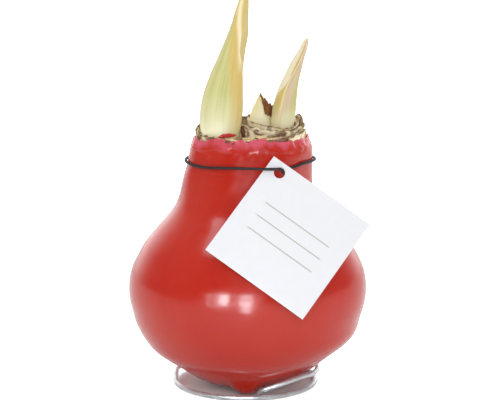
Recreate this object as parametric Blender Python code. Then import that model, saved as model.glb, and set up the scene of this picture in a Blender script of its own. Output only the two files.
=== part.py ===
"""Waxed amaryllis bulb on a coiled wire stand, with a cord and a square card tag round its neck.

Metres, +Z up. The origin lies on the surface that the wire stands on, under the middle of the
whole object, and the tag hangs at the front, towards -Y. Sizes below are in millimetres, measured
from the bulb's own upright axis.
"""

import math

import bmesh
import bpy
from mathutils import Euler, Matrix, Vector

MM = 0.001
CLEARANCE = 0.3          # gap between neighbours that touch on the real thing

# Bulb and wax: driving sizes
AXIS_OFFSET_Y = 1.4      # the bulb's axis stands this far behind the middle of the whole object
SEGMENTS = 48            # sides round the bulb
BODY_ROWS = 22           # rows from the base to the neck
NECK_HEIGHT = 103.2      # mean height of the wax rim
BODY_OUTLINE = [         # radius and height of the wax surface, base to rim
    (1.7, 4.6), (8.0, 4.4), (14.0, 3.0), (19.3, 2.5), (24.0, 4.5), (31.0, 9.9), (39.4, 17.6),
    (46.0, 27.0), (49.1, 38.0), (48.1, 48.5), (43.3, 57.5), (36.2, 66.0), (30.1, 74.5),
    (27.3, 82.5), (26.0, 90.0), (25.0, 97.0), (23.6, NECK_HEIGHT)]
WAX_BELLY = 1.7          # wax thickness low down
WAX_NECK = 1.0           # wax thickness at the rim
BELLY_SHIFT = -0.35      # the belly stands this far to the left of the axis
NECK_SHIFT = 1.3         # and the neck this far to the right of the belly
# Unevenness: height of a wave, how many go round, and the turn of the first in radians
BELLY_WAVES = [(0.25, 2, 0.9), (0.2, 3, 2.0)]
NECK_WAVES = [(0.3, 4, 0.4), (0.22, 7, -4.0)]
RIM_WAVES = [(0.4, 3, 0.7), (0.3, 8, 0.0), (0.2, 13, 0.0)]
SCALE_WAVES = [(0.45, 3, 1.0), (0.35, 7, 2.0)]
LIP_ROUND = 0.45         # the wax rim is this much higher in the middle of its thickness
DRIP_CENTRE = (0.3, -24.6, 4.1)      # the drip under the front of the wax
DRIP_RADII = (3.8, 2.6, 2.6)

# Wire stand
WIRE_RADIUS = 1.0
WIRE_SIDES = 8
RING_RADIUS = 29.5
RING_CENTRE_X = -1.1
RING_START = 100         # degrees, free end at the back
RING_END = -165          # degrees, where the coil starts to rise
RING_STEP = 5
SPIKE_TOP = 18.0
SPIKE_ROOM = 0.4         # radial room round the spike in wax and bulb
WIRE_RISE = [            # the rest of the wire: left, back, right, under the bulb, up its middle
    (-29.9, 7.5, 3.3), (-22.5, 20.5, 5.0), (-9.0, 28.6, 6.0), (8.0, 28.6, 6.3), (22.0, 19.0, 6.5),
    (28.0, 6.5, 6.5), (28.9, -6.0, 7.0), (26.2, -16.5, 7.5), (21.3, -22.7, 7.8),
    (16.3, -25.8, 6.8), (10.9, -27.2, 5.3), (6.4, -27.0, 3.7), (4.7, -24.4, 2.2),
    (3.9, -21.4, 1.05), (3.2, -17.5, 1.0), (1.8, -10.0, 1.0), (0.6, -4.0, 1.1), (0.0, -0.9, 2.4),
    (0.0, 0.0, 5.5), (0.0, 0.0, 11.0), (0.0, 0.0, SPIKE_TOP)]
WIRE_SPACING = 3.0

# Cut neck of the bulb: left and right edge, height and back-to-front tilt of each ring of scale
NECK_SCALES = [
    (-21.3, 23.2, 105.2, 0.5), (-22.0, 24.5, 107.0, 2.3), (-20.9, 23.5, 106.7, 2.3),
    (-19.6, 22.8, 103.0, 0.4), (-13.4, 22.3, 103.2, 0.4), (-12.0, 22.5, 106.8, 1.2),
    (-10.8, 21.6, 106.5, 1.2), (-9.2, 21.1, 104.6, 0.6), (-6.0, 20.8, 105.0, 0.8),
    (-2.6, 21.8, 110.4, 2.0), (-1.5, 20.8, 110.1, 2.0), (-0.6, 19.9, 107.2, 0.8),
    (9.6, 9.6, 107.0, 0.0)]
SCALE_DEPTH_SHIFT = 1.6  # the innermost scales stand this far behind the outer ones
NECK_INSIDE = 22.0       # radius inside the wax rim

# Shoots: height, centre x, centre y, half width, half depth
TALL_SHOOT = [
    (98.0, -10.6, -9.0, 5.6, 4.6), (103.5, -10.9, -9.0, 7.0, 5.8), (107.5, -11.2, -9.0, 7.9, 6.3),
    (111.5, -11.1, -9.0, 8.3, 6.4), (116.0, -10.7, -8.9, 8.3, 6.2), (121.0, -10.2, -8.7, 7.8, 5.8),
    (126.0, -9.4, -8.4, 7.0, 5.3), (131.0, -8.4, -8.1, 6.0, 4.7), (135.5, -7.1, -7.8, 5.2, 4.2),
    (140.0, -5.8, -7.5, 4.6, 3.7), (145.0, -4.4, -7.2, 4.0, 3.2), (150.0, -3.4, -7.0, 3.1, 2.6),
    (155.0, -2.7, -6.8, 2.3, 2.1), (160.0, -2.0, -6.6, 1.6, 1.5), (164.5, -1.6, -6.5, 0.9, 0.9),
    (167.6, -1.4, -6.4, 0.0, 0.0)]
SHORT_SHOOT = [
    (102.0, 13.2, -0.6, 3.8, 3.2), (106.0, 13.7, -0.6, 5.0, 4.0), (110.0, 13.9, -0.6, 5.5, 4.3),
    (114.5, 14.0, -0.6, 5.5, 4.3), (118.5, 14.9, -0.6, 4.7, 3.9), (122.5, 16.2, -0.6, 3.9, 3.3),
    (127.0, 17.4, -0.6, 3.2, 2.8), (131.0, 18.9, -0.6, 2.7, 2.4), (135.0, 20.4, -0.6, 2.1, 1.9),
    (139.0, 22.1, -0.6, 1.3, 1.2), (142.7, 24.0, -0.6, 0.0, 0.0)]
LEAF_STUB = [
    (103.0, 5.0, 2.4, 3.2, 2.6), (107.0, 5.1, 2.4, 4.2, 3.2), (111.0, 5.1, 2.4, 4.4, 3.4),
    (114.5, 5.3, 2.4, 3.7, 2.9), (117.0, 5.5, 2.4, 2.6, 2.2), (119.0, 5.2, 2.4, 1.3, 1.2),
    (120.4, 4.9, 2.4, 0.0, 0.0)]
SHOOT_SIDES = 18
SHOOT_FOLD = 0.12        # depth of the long hollow down the front of a shoot, as a share
SHOOT_ROOM = 0.35        # room round a shoot in its hole

# Card tag
TAG_SIDE = 46.0
TAG_THICKNESS = 0.6
TAG_HOLE_RADIUS = 2.2
TAG_HOLE_INSET = (4.2, 5.6)          # from the two upper edges
TAG_HOLE_PLACE = (12.3, -31.3, 92.6)
TAG_LEAN = 21.0          # degrees, top edge back against the neck
TAG_YAW = 4.7            # degrees
TAG_ROLL = 52.9          # degrees, how the card hangs on its corner

# Cord
CORD_RADIUS = 0.5
CORD_HEIGHT = 94.2
CORD_POINTS = 76
CORD_ROOM = 0.4          # gap between the cord and the wax
CORD_STEP = 8            # degrees between the route's points on the neck
KNOT_ANGLE = 90.0        # degrees, at the back
KNOT_RADII = (1.7, 1.15, 1.3)
CORD_NECK_LEFT = (98, 242)           # degrees that the cord lies on the neck, from the knot
CORD_NECK_RIGHT = (-38, 82)
CORD_AT_TAG = [          # right, up and out of the card, from the middle of its hole
    (-6.0, 2.5, 1.15), (-2.6, 2.3, 1.15), (-0.1, 1.7, 1.15), (0.85, 1.05, 0.0),
    (1.8, 0.9, -1.15), (5.0, 1.3, -2.4)]

# Wax run on the foot of the tall shoot
SMEAR_FROM = (-10.4, 105.3)
SMEAR_TO = (-4.9, 107.3)
SMEAR_RADIUS = 0.6
SMEAR_STEPS = 9


def srgb(red, green, blue):
    """Turn a colour of 0 to 255 as seen on a screen into the linear values of a material."""
    linear = []
    for level in (red, green, blue):
        share = level / 255
        linear.append(share / 12.92 if share < 0.04 else ((share + 0.055) / 1.055) ** 2.4)
    return (*linear, 1.0)


MATERIALS = {            # colour, roughness, metallic
    "red_wax": (srgb(199, 45, 35), 0.25, 0.0),
    "bulb_scale": (srgb(196, 170, 130), 0.7, 0.0),
    "green_shoot": (srgb(214, 208, 140), 0.45, 0.0),
    "pale_stub": (srgb(228, 218, 170), 0.5, 0.0),
    "black_cord": (srgb(38, 34, 34), 0.6, 0.0),
    "white_card": (srgb(238, 239, 243), 0.4, 0.0),
    "zinc_wire": (srgb(190, 190, 192), 0.3, 1.0),
}


def smooth_line(points, steps=8):
    """A smooth line through the given points, as many coordinates as they have."""
    size = len(points[0])
    ends = [[2 * points[0][i] - points[1][i] for i in range(size)]]
    ends += [list(point) for point in points]
    ends.append([2 * points[-1][i] - points[-2][i] for i in range(size)])
    line = []
    for before, start, finish, after in zip(ends, ends[1:], ends[2:], ends[3:]):
        for step in range(steps):
            t = step / steps
            line.append(Vector([
                0.5 * (2 * b + (c - a) * t + (2 * a - 5 * b + 4 * c - d) * t ** 2
                       + (3 * b - 3 * c + d - a) * t ** 3)
                for a, b, c, d in zip(before, start, finish, after)]))
    line.append(Vector(points[-1]))
    return line


def even_points(line, count):
    """The line again, in count points an equal way apart."""
    lengths = [0.0]
    for start, finish in zip(line, line[1:]):
        lengths.append(lengths[-1] + (finish - start).length)
    spaced = []
    place = 0
    for step in range(count):
        goal = lengths[-1] * step / (count - 1)
        while place < len(line) - 2 and lengths[place + 1] < goal:
            place += 1
        share = (goal - lengths[place]) / (lengths[place + 1] - lengths[place])
        spaced.append(line[place].lerp(line[place + 1], share))
    return spaced


def ease(value, start, finish):
    """0 below start, 1 above finish, smooth between."""
    share = min(max((value - start) / (finish - start), 0.0), 1.0)
    return share * share * (3 - 2 * share)


def body_outline(depth):
    """Radius and height of each row of the body, this deep under the wax surface.

    Depth is a function of height, because the wax is thinner at the neck.
    """
    rows = even_points(smooth_line(BODY_OUTLINE), BODY_ROWS)
    inside = []
    for number, row in enumerate(rows):
        along = rows[min(number + 1, BODY_ROWS - 1)] - rows[max(number - 1, 0)]
        inward = Vector((-along.y, along.x)).normalized()
        inside.append(row + inward * depth(row.y))
    return inside


def wax_thickness(height):
    return WAX_BELLY + (WAX_NECK - WAX_BELLY) * ease(height, 60, 96)


def waves(angle, table, turn=0.0):
    """Sum of a few waves round the bulb; turn shifts each wave, for rings that differ."""
    return sum(size * math.sin(count * angle + start * (1 + turn))
               for size, count, start in table)


def uneven(angle, radius, height):
    """Where a point of the turned body lies on the real one, which is lumpy and leans a little."""
    belly = ease(height, 6, 30) * (1 - ease(height, 66, 84))
    neck = ease(height, 76, 90)
    radius += belly * waves(angle, BELLY_WAVES) + neck * waves(angle, NECK_WAVES)
    lean = BELLY_SHIFT + NECK_SHIFT * ease(height, 84, 96)
    lift = waves(angle, RIM_WAVES) * ease(height, 96, 103)
    return Vector((radius * math.cos(angle) + lean, radius * math.sin(angle), height + lift))


def ring_angles(sides):
    return [2 * math.pi * side / sides for side in range(sides)]


def body_ring(radius, height):
    return [uneven(angle, radius, height) for angle in ring_angles(SEGMENTS)]


def point_ring(place, sides=SEGMENTS):
    """A ring shrunk to one point, which closes a skin there."""
    return [Vector(place)] * sides


def skin(rings):
    """A closed skin over a stack of rings, each ring extruded from the one before."""
    mesh = bmesh.new()
    slot = mesh.verts.layers.int.new("slot")
    first = bmesh.ops.create_circle(mesh, segments=len(rings[0]), radius=1.0)["verts"]
    for number, vert in enumerate(first):
        vert[slot] = number
        vert.co = rings[0][number]
    edges = mesh.edges[:]
    for ring in rings[1:]:
        made = bmesh.ops.extrude_edge_only(mesh, edges=edges)["geom"]
        verts = {item for item in made if isinstance(item, bmesh.types.BMVert)}
        for vert in verts:
            vert.co = ring[vert[slot]]
        edges = [item for item in made
                 if isinstance(item, bmesh.types.BMEdge) and verts.issuperset(item.verts)]
    bmesh.ops.remove_doubles(mesh, verts=mesh.verts, dist=0.0005)
    bmesh.ops.recalc_face_normals(mesh, faces=mesh.faces)
    return mesh


def make_material(name):
    colour, roughness, metallic = MATERIALS[name]
    material = bpy.data.materials.new(name)
    material.use_nodes = True
    shader = material.node_tree.nodes["Principled BSDF"]
    shader.inputs["Base Color"].default_value = colour
    shader.inputs["Roughness"].default_value = roughness
    shader.inputs["Metallic"].default_value = metallic
    material.diffuse_color = colour
    return material


def finish_piece(name, mesh, material, parent):
    """Turn a mesh in millimetres into an object in metres, shaded smooth."""
    bmesh.ops.scale(mesh, vec=(MM, MM, MM), verts=mesh.verts)
    data = bpy.data.meshes.new(name)
    mesh.to_mesh(data)
    mesh.free()
    data.shade_smooth()
    data.set_sharp_from_angle(angle=math.radians(40))
    piece = bpy.data.objects.new(name, data)
    bpy.context.collection.objects.link(piece)
    piece.parent = parent
    if material:
        data.materials.append(material)
    return piece


def boolean(piece, other, operation):
    """Cut another shape out of a piece, or join it on; the other shape is only a guide."""
    modifier = piece.modifiers.new(other.name, "BOOLEAN")
    modifier.operation = operation
    modifier.solver = "EXACT"
    modifier.object = other
    other.hide_render = True
    other.display_type = "WIRE"


def make_wax_coat(material, parent):
    """The wax shell: up the outside, over the rim, down the inside, round the wire's hole."""
    outer = body_outline(lambda height: 0.0)
    inner = body_outline(wax_thickness)
    hole = WIRE_RADIUS + SPIKE_ROOM
    rings = [body_ring(hole, outer[0].y)]
    rings += [body_ring(row.x, row.y) for row in outer[1:]]
    lip = (outer[-1] + inner[-1]) / 2
    rings.append(body_ring(lip.x, lip.y + LIP_ROUND))
    rings += [body_ring(row.x, row.y) for row in reversed(inner[1:])]
    rings.append(body_ring(hole, inner[0].y))
    rings.append(rings[0])
    coat = finish_piece("wax_coat", skin(rings), material, parent)
    drip_mesh = bmesh.new()
    bmesh.ops.create_uvsphere(drip_mesh, u_segments=14, v_segments=8, radius=1.0)
    bmesh.ops.scale(drip_mesh, vec=DRIP_RADII, verts=drip_mesh.verts)
    bmesh.ops.translate(drip_mesh, vec=DRIP_CENTRE, verts=drip_mesh.verts)
    drip = finish_piece("drip_guide", drip_mesh, None, parent)
    boolean(coat, drip, "UNION")
    return coat


def neck_ring(left, right, height, tilt):
    """One ring of the cut neck, with the ragged height of a dry scale's edge."""
    centre_x = (left + right) / 2
    radius = (right - left) / 2
    inwards = max(1 - radius / NECK_INSIDE, 0.0)
    ring = []
    for angle in ring_angles(SEGMENTS):
        ragged = waves(angle, SCALE_WAVES, turn=height)
        reach = radius + waves(angle, NECK_WAVES) * ease(radius, 14, 20)
        ring.append(Vector((
            centre_x + reach * math.cos(angle),
            SCALE_DEPTH_SHIFT * inwards + reach * math.sin(angle),
            height + tilt * math.sin(angle) + ragged * ease(tilt, 0.7, 1.2))))
    return ring


def bulb_rings(gap):
    """The bulb inside its wax: socket for the wire, base, belly, neck and nested scales."""
    under_wax = body_outline(lambda height: wax_thickness(height) + gap)
    socket = WIRE_RADIUS + SPIKE_ROOM
    rings = [point_ring((0, 0, SPIKE_TOP + SPIKE_ROOM)), body_ring(socket, SPIKE_TOP + SPIKE_ROOM)]
    rings.append(body_ring(socket, under_wax[0].y))
    rings += [body_ring(row.x, row.y) for row in under_wax[1:]]
    rings += [neck_ring(*scale) for scale in NECK_SCALES]
    return rings


def make_bulb(material, parent):
    return finish_piece("bulb", skin(bulb_rings(CLEARANCE)), material, parent)


def shoot_ring(height, centre_x, centre_y, half_width, half_depth, grow):
    """An oval with a long hollow down its front; grown for a hole, it has no hollow."""
    hollow = SHOOT_FOLD if grow == 0 else 0.0
    ring = []
    for angle in ring_angles(SHOOT_SIDES):
        fold = 1 - hollow * max(-math.sin(angle), 0.0) ** 6
        across = (half_width + grow) * math.cos(angle)
        along = (half_depth + grow) * math.sin(angle) * fold
        ring.append(Vector((centre_x + across, centre_y + along, height)))
    return ring


def shoot_skin(sections, grow=0.0):
    """A shoot lofted through its sections, closed flat at the foot and to a point at the tip."""
    height, centre_x, centre_y = sections[0][:3]
    rings = [point_ring((centre_x, centre_y, height - grow), SHOOT_SIDES)]
    rings.append(shoot_ring(height - grow, *sections[0][1:], grow))
    for section in sections[1:-1]:
        rings.append(shoot_ring(*section, grow))
    tip = sections[-1]
    rings.append(point_ring((tip[1], tip[2], tip[0] + grow), SHOOT_SIDES))
    return skin(rings)


def make_shoot(name, sections, material, parent, hosts):
    """A shoot, and the plain hole that it stands in, cut from each host with a little room."""
    shoot = finish_piece(name, shoot_skin(sections), material, parent)
    hole = finish_piece(name + "_hole", shoot_skin(sections, SHOOT_ROOM), None, parent)
    for host in hosts:
        boolean(host, hole, "DIFFERENCE")
    return shoot


def wire_path():
    """The wire's centre line: a flat ring on the surface, then the rise and the spike."""
    ring = []
    for degrees in range(RING_START, RING_END - 1, -RING_STEP):
        angle = math.radians(degrees)
        ring.append(Vector((RING_CENTRE_X + RING_RADIUS * math.cos(angle),
                            RING_RADIUS * math.sin(angle), WIRE_RADIUS)))
    lead = [tuple(point) for point in ring[-2:]]
    rise = smooth_line(lead + WIRE_RISE)[8:]
    length = sum((finish - start).length for start, finish in zip(rise, rise[1:]))
    rest = even_points(rise, round(length / WIRE_SPACING))[1:]
    for point in rest:
        point.z = max(point.z, WIRE_RADIUS)
    return ring + rest


def tube_rings(path, radius, sides):
    """Rings along a path whose flats lie level, so that the underside is flat on the surface."""
    corner = radius / math.cos(math.pi / sides)
    across = Vector((1, 0, 0))
    rings = [point_ring(path[0], sides)]
    for number, point in enumerate(path):
        ahead = (path[min(number + 1, len(path) - 1)] - path[max(number - 1, 0)]).normalized()
        level = ahead.cross(Vector((0, 0, 1)))
        if level.length > 0.3:
            across = level.normalized()
        across = (across - ahead * across.dot(ahead)).normalized()
        up = across.cross(ahead)
        ring = []
        for side in range(sides):
            angle = 2 * math.pi * (side + 0.5) / sides
            ring.append(point + corner * (math.cos(angle) * across + math.sin(angle) * up))
        rings.append(ring)
    rings.append(point_ring(path[-1], sides))
    return rings


def make_wire_stand(material, parent):
    mesh = skin(tube_rings(wire_path(), WIRE_RADIUS, WIRE_SIDES))
    return finish_piece("wire_stand", mesh, material, parent)


def tag_frame():
    """Turn of the card, as an Euler angle: it leans back on its upper edge and turns a little."""
    return (math.radians(90 - TAG_LEAN), 0.0, math.radians(TAG_YAW))


def make_hang_tag(material, parent):
    """A square card, hung by a punched hole near its top corner."""
    mesh = bmesh.new()
    bmesh.ops.create_cube(mesh, size=1.0)
    bmesh.ops.scale(mesh, vec=(TAG_SIDE, TAG_SIDE, TAG_THICKNESS), verts=mesh.verts)
    middle = [inset - TAG_SIDE / 2 for inset in TAG_HOLE_INSET]
    bmesh.ops.translate(mesh, vec=(*middle, 0), verts=mesh.verts)
    roll = Matrix.Rotation(math.radians(TAG_ROLL), 3, "Z")
    bmesh.ops.rotate(mesh, matrix=roll, verts=mesh.verts)
    tag = finish_piece("hang_tag", mesh, material, parent)
    punch_mesh = bmesh.new()
    bmesh.ops.create_cone(punch_mesh, segments=20, radius1=TAG_HOLE_RADIUS,
                          radius2=TAG_HOLE_RADIUS, depth=4 * TAG_THICKNESS, cap_ends=True)
    punch = finish_piece("tag_hole", punch_mesh, None, parent)
    for piece in (tag, punch):
        piece.location = Vector(TAG_HOLE_PLACE) * MM
        piece.rotation_euler = tag_frame()
    boolean(tag, punch, "DIFFERENCE")
    return tag


def neck_point(degrees, stand_off, height=CORD_HEIGHT):
    """A point this far out from the wax neck, at an angle round it."""
    angle = math.radians(degrees)
    outline = smooth_line(BODY_OUTLINE)
    row = min(outline, key=lambda place: abs(place.y - height))
    return uneven(angle, row.x + stand_off, height)


def make_cord_loop(material, parent):
    """The cord: from the knot round the left of the neck, through the tag, back by the right."""
    stand_off = CORD_RADIUS + CORD_ROOM
    route = [neck_point(angle, stand_off) for angle in range(*CORD_NECK_LEFT, CORD_STEP)]
    turn = Euler(tag_frame()).to_matrix()
    route += [Vector(TAG_HOLE_PLACE) + turn @ Vector(place) for place in CORD_AT_TAG]
    route += [neck_point(angle, stand_off) for angle in range(*CORD_NECK_RIGHT, CORD_STEP)]
    points = even_points(smooth_line(route), CORD_POINTS)
    curve = bpy.data.curves.new("cord_loop", "CURVE")
    curve.dimensions = "3D"
    curve.bevel_depth = CORD_RADIUS * MM
    curve.bevel_resolution = 2
    curve.use_fill_caps = True
    spline = curve.splines.new("POLY")
    spline.points.add(CORD_POINTS - 1)
    for place, point in zip(points, spline.points):
        point.co = (*place * MM, 1)
    curve.materials.append(material)
    cord = bpy.data.objects.new("cord_loop", curve)
    bpy.context.collection.objects.link(cord)
    cord.parent = parent
    return cord


def make_cord_knot(material, parent):
    mesh = bmesh.new()
    bmesh.ops.create_uvsphere(mesh, u_segments=12, v_segments=8, radius=1.0)
    bmesh.ops.scale(mesh, vec=KNOT_RADII, verts=mesh.verts)
    place = neck_point(KNOT_ANGLE, KNOT_RADII[1] + CLEARANCE)
    bmesh.ops.translate(mesh, vec=place, verts=mesh.verts)
    return finish_piece("cord_knot", mesh, material, parent)


def shoot_front(sections, across, height):
    """The place on a shoot's front at this width and height, and the way out of it."""
    for low, high in zip(sections, sections[1:]):
        if low[0] <= height <= high[0]:
            share = (height - low[0]) / (high[0] - low[0])
            _, centre_x, centre_y, half_width, half_depth = [
                start + share * (finish - start) for start, finish in zip(low, high)]
    turn = math.asin((across - centre_x) / half_width)
    place = Vector((across, centre_y - half_depth * math.cos(turn), height))
    out = Vector((half_depth * math.sin(turn), -half_width * math.cos(turn), 0)).normalized()
    return place, out


def make_wax_smear(material, parent):
    """A short run of wax that lies against the foot of the tall shoot, thin at both ends."""
    path = []
    for step in range(SMEAR_STEPS):
        share = step / (SMEAR_STEPS - 1)
        across = SMEAR_FROM[0] + share * (SMEAR_TO[0] - SMEAR_FROM[0])
        height = SMEAR_FROM[1] + share * (SMEAR_TO[1] - SMEAR_FROM[1])
        place, out = shoot_front(TALL_SHOOT, across, height)
        path.append(place + out * (SMEAR_RADIUS + CLEARANCE))
    rings = tube_rings(path, SMEAR_RADIUS, 8)
    for step, centre in enumerate(path):
        width = math.sin(math.pi * (step + 0.8) / (SMEAR_STEPS + 0.6)) ** 0.5
        rings[step + 1] = [centre + (corner - centre) * width for corner in rings[step + 1]]
    return finish_piece("wax_smear", skin(rings), material, parent)


def main():
    for thing in list(bpy.data.objects):
        bpy.data.objects.remove(thing, do_unlink=True)
    materials = {name: make_material(name) for name in MATERIALS}
    axis = bpy.data.objects.new("bulb_axis", None)
    axis.location = (0, AXIS_OFFSET_Y * MM, 0)
    bpy.context.collection.objects.link(axis)
    make_wax_coat(materials["red_wax"], axis)
    bulb = make_bulb(materials["bulb_scale"], axis)
    make_shoot("shoot_tall", TALL_SHOOT, materials["green_shoot"], axis, [bulb])
    stub = make_shoot("leaf_stub", LEAF_STUB, materials["pale_stub"], axis, [bulb])
    make_shoot("shoot_short", SHORT_SHOOT, materials["green_shoot"], axis, [bulb, stub])
    make_wax_smear(materials["red_wax"], axis)
    make_wire_stand(materials["zinc_wire"], axis)
    make_hang_tag(materials["white_card"], axis)
    make_cord_loop(materials["black_cord"], axis)
    make_cord_knot(materials["black_cord"], axis)


main()
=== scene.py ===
"""Looks of a waxed amaryllis bulb on a coiled wire stand, with a cord and a plain card tag.

Sizes are in millimetres from the bulb's own upright axis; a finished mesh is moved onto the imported
frame and turned into metres.
"""

import math
from math import cos, pi, radians, sin, tau

import bmesh
import bpy
from bpy.props import FloatProperty, FloatVectorProperty, IntProperty, PointerProperty
from mathutils import Euler, Matrix, Vector, noise


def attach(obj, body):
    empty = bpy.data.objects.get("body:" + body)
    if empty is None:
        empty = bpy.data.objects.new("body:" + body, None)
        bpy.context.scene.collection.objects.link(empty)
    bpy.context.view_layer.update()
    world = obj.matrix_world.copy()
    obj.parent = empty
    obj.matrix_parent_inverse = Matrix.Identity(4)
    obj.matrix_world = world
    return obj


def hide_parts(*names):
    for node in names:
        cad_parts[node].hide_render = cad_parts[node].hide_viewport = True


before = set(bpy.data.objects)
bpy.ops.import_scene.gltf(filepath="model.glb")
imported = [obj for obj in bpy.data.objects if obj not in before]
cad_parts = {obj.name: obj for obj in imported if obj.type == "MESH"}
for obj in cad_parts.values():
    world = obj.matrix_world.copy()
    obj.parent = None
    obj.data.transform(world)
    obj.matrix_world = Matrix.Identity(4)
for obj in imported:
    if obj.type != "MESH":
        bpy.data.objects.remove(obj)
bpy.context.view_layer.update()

bl_info = {
    "name": "Waxed amaryllis bulb",
    "version": (1, 0, 0),
    "blender": (4, 5, 0),
    "location": "3D View > Sidebar > Waxed bulb",
    "description": "Builds the wax, neck scales, shoots, wire, cord and card of a waxed bulb",
    "category": "Add Mesh",
}

MM = 0.001
AXIS_OFFSET_Y = 1.4      # the bulb's axis stands this far behind the middle of the whole object
FRONT = -pi / 2          # the side where the tag hangs
SPIKE_HOLE = 1.4         # radius of the hole for the wire's spike, and its top in the bulb
SPIKE_HOLE_TOP = 18.4
SHARP_EDGE = radians(50)

# Wax surface: radius and height, base to rim
BODY_OUTLINE = [
    (1.7, 4.6), (8.0, 4.4), (14.0, 3.0), (19.3, 2.5), (24.0, 4.5), (31.0, 9.9), (39.4, 17.6),
    (46.0, 27.0), (49.1, 38.0), (48.1, 48.5), (43.3, 57.5), (36.2, 66.0), (30.1, 74.5),
    (27.3, 82.5), (26.0, 90.0), (25.0, 97.0), (23.6, 103.2)]
BELLY_SHIFT = -0.35
NECK_SHIFT = 1.3
BELLY_WAVES = [(0.25, 2, 0.9), (0.2, 3, 2.0)]
NECK_WAVES = [(0.3, 4, 0.4), (0.22, 7, -4.0)]
RIM_WAVES = [(0.4, 3, 0.7), (0.3, 8, 0.0), (0.2, 13, 0.0)]
SWELLS = {               # size, height and half width of each swelling of the wax
    "left": [(2.0, 16.2, 10.0), (0.7, 25.0, 8.0)],
    "right": [(1.75, 21.0, 9.0), (0.6, 98.5, 5.0)],    # clear of the wire's raised turn
    "round": [(1.0, 64.0, 12.0)]}
CREASE = (0.25, 90.2, 1.7)           # depth, height and half width of the crease at the left
CREASE_SPAN = (radians(-128), 0.6)
DRIP = (-0.9, 7.6, -23.8, 4.8)       # middle and half width, across and then front to back
DRIP_DEPTH = 3.1
RUN = (-13.2, 8.0, 103.9, 1.5)       # the run of wax: left end, length, height and rise
NICKS = [                # nicks of the rim: degrees round, width and depth
    (-111.0, 6.0, 1.0), (-105.0, 4.0, 0.8), (-93.0, 4.0, 0.9), (-71.0, 4.0, 0.8),
    (-40.0, 5.0, 0.7), (20.0, 6.0, 0.8), (75.0, 7.0, 0.9), (140.0, 6.0, 0.9)]

# Cut neck of the bulb: left and right edge, height and back-to-front tilt of each ring
NECK_RINGS = [
    (-21.3, 23.2, 104.8, 0.5), (-21.6, 23.9, 105.6, 1.6), (-20.6, 23.1, 105.3, 1.6),
    (-19.6, 22.8, 102.8, 0.4), (-13.4, 22.3, 103.0, 0.4), (-12.0, 22.2, 105.6, 1.0),
    (-10.8, 21.4, 105.3, 1.0), (-9.2, 21.1, 104.2, 0.6), (-5.0, 20.6, 104.6, 0.8),
    (-2.0, 20.9, 108.3, 1.6), (-1.0, 20.1, 108.1, 1.6), (-0.4, 19.4, 106.4, 0.8),
    (9.6, 9.6, 106.4, 0.0)]

# Papery scales: centre x and y, radius, foot height, thickness, how dry, how ragged, and the
# height of the top edge at each degree round the neck
SCALES = {
    "left": (1.1, 0.0, 22.8, 100.5, 0.4, 0.5, 0.35, [
        (118, 105.0), (136, 107.2), (151, 108.5), (170, 106.9), (188, 105.6), (215, 104.9),
        (243, 104.2)]),
    "left_inner": (0.7, 0.2, 20.6, 100.5, 0.4, 0.7, 0.4, [
        (112, 104.8), (140, 107.0), (158, 107.6), (180, 106.0), (205, 105.2), (240, 104.4)]),
    "right": (1.1, 0.0, 22.7, 100.5, 0.45, 0.35, 0.3, [
        (-68, 104.2), (-52, 105.0), (-32, 105.5), (-15, 107.2), (-7, 106.7), (4, 105.0),
        (28, 104.4)]),
    "right_inner": (1.5, 0.2, 20.9, 100.5, 0.4, 0.6, 0.4, [
        (-72, 104.3), (-40, 105.2), (-18, 105.5), (2, 106.4), (20, 105.6), (42, 104.8)]),
    "back": (1.1, 0.2, 22.4, 100.5, 0.4, 0.8, 0.5, [
        (24, 104.6), (60, 105.8), (95, 106.3), (124, 105.2)]),
    "second": (1.2, 0.2, 21.6, 100.5, 0.4, 0.7, 0.5, [(-180, 104.4), (0, 104.4), (180, 104.4)]),
    "third": (6.4, 0.5, 16.2, 101.0, 0.5, 0.5, 0.45, [
        (-180, 104.9), (-120, 104.3), (-60, 104.0), (0, 104.9), (90, 105.6), (180, 104.9)]),
    "fourth": (7.9, 0.7, 14.3, 101.0, 0.5, 0.15, 0.3, [
        (140, 107.4), (180, 108.0), (205, 108.6), (225, 108.8), (232, 108.0), (245, 106.8),
        (264, 105.9), (279, 105.2), (304, 104.6), (323, 105.6), (343, 107.0), (360, 106.4)]),
    "collar": (9.4, 0.9, 12.7, 102.0, 0.85, 0.3, 0.3, [
        (-180, 110.0), (-135, 108.5), (-105, 107.8), (-80, 107.0), (-55, 106.8), (-35, 107.3),
        (-12, 108.7), (10, 109.6), (45, 111.0),
        (90, 111.7), (135, 111.3), (180, 110.0)]),
    "inner": (9.6, 1.3, 11.2, 104.0, 0.5, 0.35, 0.25, [
        (-180, 110.6), (-135, 109.8), (-100, 108.7), (-60, 107.5), (-30, 108.2), (0, 109.9),
        (90, 111.2), (180, 110.6)]),
    "curled_tip": (9.4, 0.9, 13.4, 104.0, 0.4, 0.45, 0.3, [
        (-10, 107.6), (4, 109.3), (20, 111.0), (31, 111.9), (42, 110.6), (62, 108.6)]),
}
PATCHES_AND_SHADE = {              # brown patches, and a patch of painted shade: degrees round, share of the height, width, height
    "collar": [(-118, 0.8, 7, 0.14), (-70, 0.62, 14, 0.34), (20, 0.7, 20, 0.3),
               (110, 0.7, 18, 0.3)],
    # on the fourth scale, the patch at 226 degrees is painted shade: the dark gap between the scales
    # beside the tall shoot
    "fourth": [(276, 0.82, 9, 0.13), (291, 0.6, 17, 0.9), (252, 0.9, 16, 0.1),
               (237, 0.7, 5, 0.25), (226, 0.6, 8, 0.6)],
    "right": [(-57, 0.75, 10, 0.4), (-10, 0.6, 8, 0.2)],
    "left": [(200, 0.7, 14, 0.3), (228, 0.8, 12, 0.3)],
}

LEAF_ROUND = 6.5         # radius of a leaf that its veins are laid out for
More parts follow.
